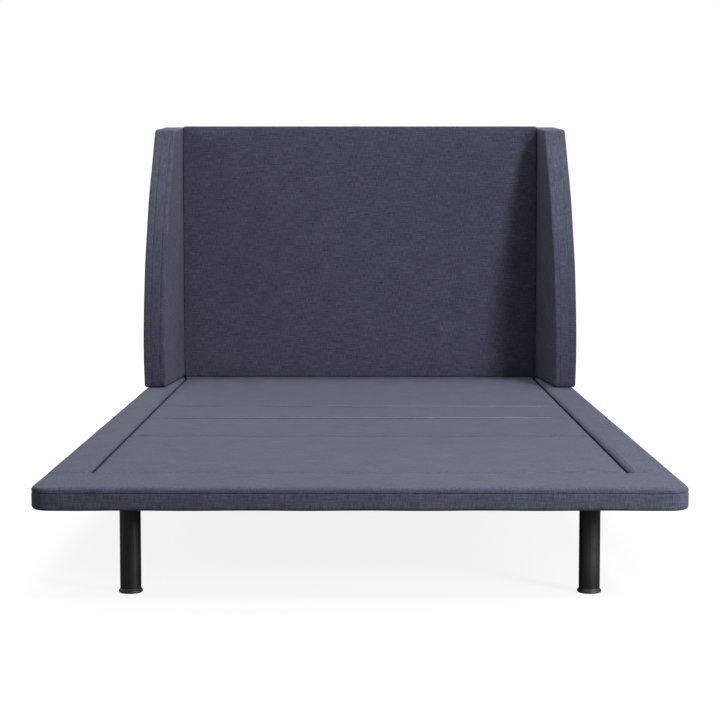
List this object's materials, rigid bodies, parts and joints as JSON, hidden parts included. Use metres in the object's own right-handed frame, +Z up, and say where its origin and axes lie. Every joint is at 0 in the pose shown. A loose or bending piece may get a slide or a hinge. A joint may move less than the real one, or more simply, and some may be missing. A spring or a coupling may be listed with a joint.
{
  "type": "adjustable bed base",
  "caption": "Upholstered twin adjustable bed base with a winged headboard, hinged back, thigh and calf sections, and round tube legs.",
  "frame": {"origin": "on the floor under the middle of the platform", "axes": "+Z up, +Y towards the headboard, +X to the sleeper's left when lying on the back, head at +Y"},
  "size_m": [1.1576, 2.16, 0.914],
  "materials": {
    "upholstery": "heathered plain weave, dark navy",
    "plywood": "sanded birch plywood, clear sealed",
    "black_steel": "black powder coat, satin",
    "zinc_steel": "zinc plated",
    "black_plastic": "fine moulded grain",
    "grey_plastic": "smooth moulded"
  },
  "bodies": {
    "base": {"foot_rail_core": "plywood", "foot_rail_pad": "upholstery", "side_rail_core_left": "plywood", "side_rail_core_right": "plywood", "side_rail_pad_left": "upholstery", "side_rail_pad_right": "upholstery", "head_rail": "upholstery", "headboard_core": "plywood", "headboard_pad": "upholstery", "wing_left": "upholstery", "wing_right": "upholstery", "headboard_bracket_left": "black_steel", "headboard_bracket_right": "black_steel", "frame_tube_left": "black_steel", "frame_tube_right": "black_steel", "frame_tube_foot": "black_steel", "frame_tube_seat": "black_steel", "frame_tube_head": "black_steel", "leg_front_left": "black_steel", "leg_front_right": "black_steel", "leg_rear_left": "black_steel", "leg_rear_right": "black_steel", "lift_bearing_head_left": "grey_plastic", "lift_bearing_head_right": "grey_plastic", "lift_bearing_foot_left": "grey_plastic", "lift_bearing_foot_right": "grey_plastic", "seat_board": "plywood", "seat_pad": "upholstery", "seat_hinge_leaf_back": "black_steel", "seat_hinge_leaf_thigh": "black_steel", "drive_housing": "black_plastic", "drive_cover": "black_plastic", "drive_motor_head": "grey_plastic", "drive_motor_foot": "grey_plastic"},
    "back": {"back_board": "plywood", "back_pad": "upholstery", "back_hinge_leaf": "black_steel", "back_lift_bracket_left": "zinc_steel", "back_lift_bracket_right": "zinc_steel"},
    "thigh": {"thigh_board": "plywood", "thigh_pad": "upholstery", "thigh_hinge_leaf_seat": "black_steel", "thigh_hinge_leaf_knee": "black_steel"},
    "calf": {"calf_board": "plywood", "calf_pad": "upholstery", "calf_hinge_leaf": "black_steel", "calf_lift_bracket_left": "zinc_steel", "calf_lift_bracket_right": "zinc_steel"},
    "head_lift": {"head_lift_tube": "black_steel"},
    "head_links": {"head_lift_link_left": "zinc_steel", "head_lift_link_right": "zinc_steel"},
    "foot_lift": {"foot_lift_tube": "black_steel"},
    "head_push_block": {"push_block_head": "grey_plastic"},
    "foot_push_block": {"push_block_foot": "grey_plastic"},
    "head_spindle": {"spindle_head": "zinc_steel"},
    "foot_spindle": {"spindle_foot": "zinc_steel"},
    "front_left_foot": {"levelling_foot_front_left": "black_plastic"},
    "front_right_foot": {"levelling_foot_front_right": "black_plastic"},
    "rear_left_foot": {"levelling_foot_rear_left": "black_plastic"},
    "rear_right_foot": {"levelling_foot_rear_right": "black_plastic"}
  },
  "joints": [
    {"name": "back_hinge", "type": "hinge", "parent": "base", "child": "back", "pos_m": [0, 0.255, 0.205], "axis": [1, 0, 0], "range_deg": [0, 60]},
    {"name": "head_tube_hinge", "type": "hinge", "parent": "base", "child": "head_lift", "pos_m": [0, 0.305, 0.143], "axis": [1, 0, 0], "range_deg": [0, 60]},
    {"name": "head_link_hinge", "type": "hinge", "parent": "head_lift", "child": "head_links", "pos_m": [0, 0.605, 0.081], "axis": [1, 0, 0], "range_deg": [-60, 0]},
    {"name": "head_push_slide", "type": "slide", "parent": "base", "child": "head_push_block", "axis": [0, 1, 0], "range_m": [0, 0.0801]},
    {"name": "head_spindle_turn", "type": "hinge", "parent": "base", "child": "head_spindle", "pos_m": [0, 0.1, 0.068], "axis": [0, 1, 0], "range_deg": [0, 3601]},
    {"name": "thigh_hinge", "type": "hinge", "parent": "base", "child": "thigh", "pos_m": [0, 0, 0.205], "axis": [-1, 0, 0], "range_deg": [0, 38]},
    {"name": "knee_hinge", "type": "hinge", "parent": "thigh", "child": "calf", "pos_m": [0, -0.33, 0.164], "axis": [-1, 0, 0], "range_deg": [-38, 0]},
    {"name": "foot_tube_hinge", "type": "hinge", "parent": "base", "child": "foot_lift", "pos_m": [0, -0.2, 0.143], "axis": [-1, 0, 0], "range_deg": [0, 38]},
    {"name": "foot_push_slide", "type": "slide", "parent": "base", "child": "foot_push_block", "axis": [0, -1, 0], "range_m": [0, 0.0522]},
    {"name": "foot_spindle_turn", "type": "hinge", "parent": "base", "child": "foot_spindle", "pos_m": [0, -0.05, 0.068], "axis": [0, -1, 0], "range_deg": [0, 2346]},
    {"name": "levelling_front_left", "type": "slide", "parent": "base", "child": "front_left_foot", "axis": [0, 0, -1], "range_m": [0, 0.012]},
    {"name": "levelling_front_right", "type": "slide", "parent": "base", "child": "front_right_foot", "axis": [0, 0, -1], "range_m": [0, 0.012]},
    {"name": "levelling_rear_left", "type": "slide", "parent": "base", "child": "rear_left_foot", "axis": [0, 0, -1], "range_m": [0, 0.012]},
    {"name": "levelling_rear_right", "type": "slide", "parent": "base", "child": "rear_right_foot", "axis": [0, 0, -1], "range_m": [0, 0.012]}
  ],
  "couplings": [
    {"joint": "head_tube_hinge", "follows": "back_hinge", "ratio": 1},
    {"joint": "head_link_hinge", "follows": "back_hinge", "ratio": -1},
    {"joint": "head_push_slide", "follows": "back_hinge", "m_per_rad": 0.076394},
    {"joint": "head_spindle_turn", "follows": "back_hinge", "ratio": 60},
    {"joint": "knee_hinge", "follows": "thigh_hinge", "ratio": -1},
    {"joint": "foot_tube_hinge", "follows": "thigh_hinge", "ratio": 1},
    {"joint": "foot_push_slide", "follows": "thigh_hinge", "m_per_rad": 0.078542},
    {"joint": "foot_spindle_turn", "follows": "thigh_hinge", "ratio": 61.687}
  ]
}
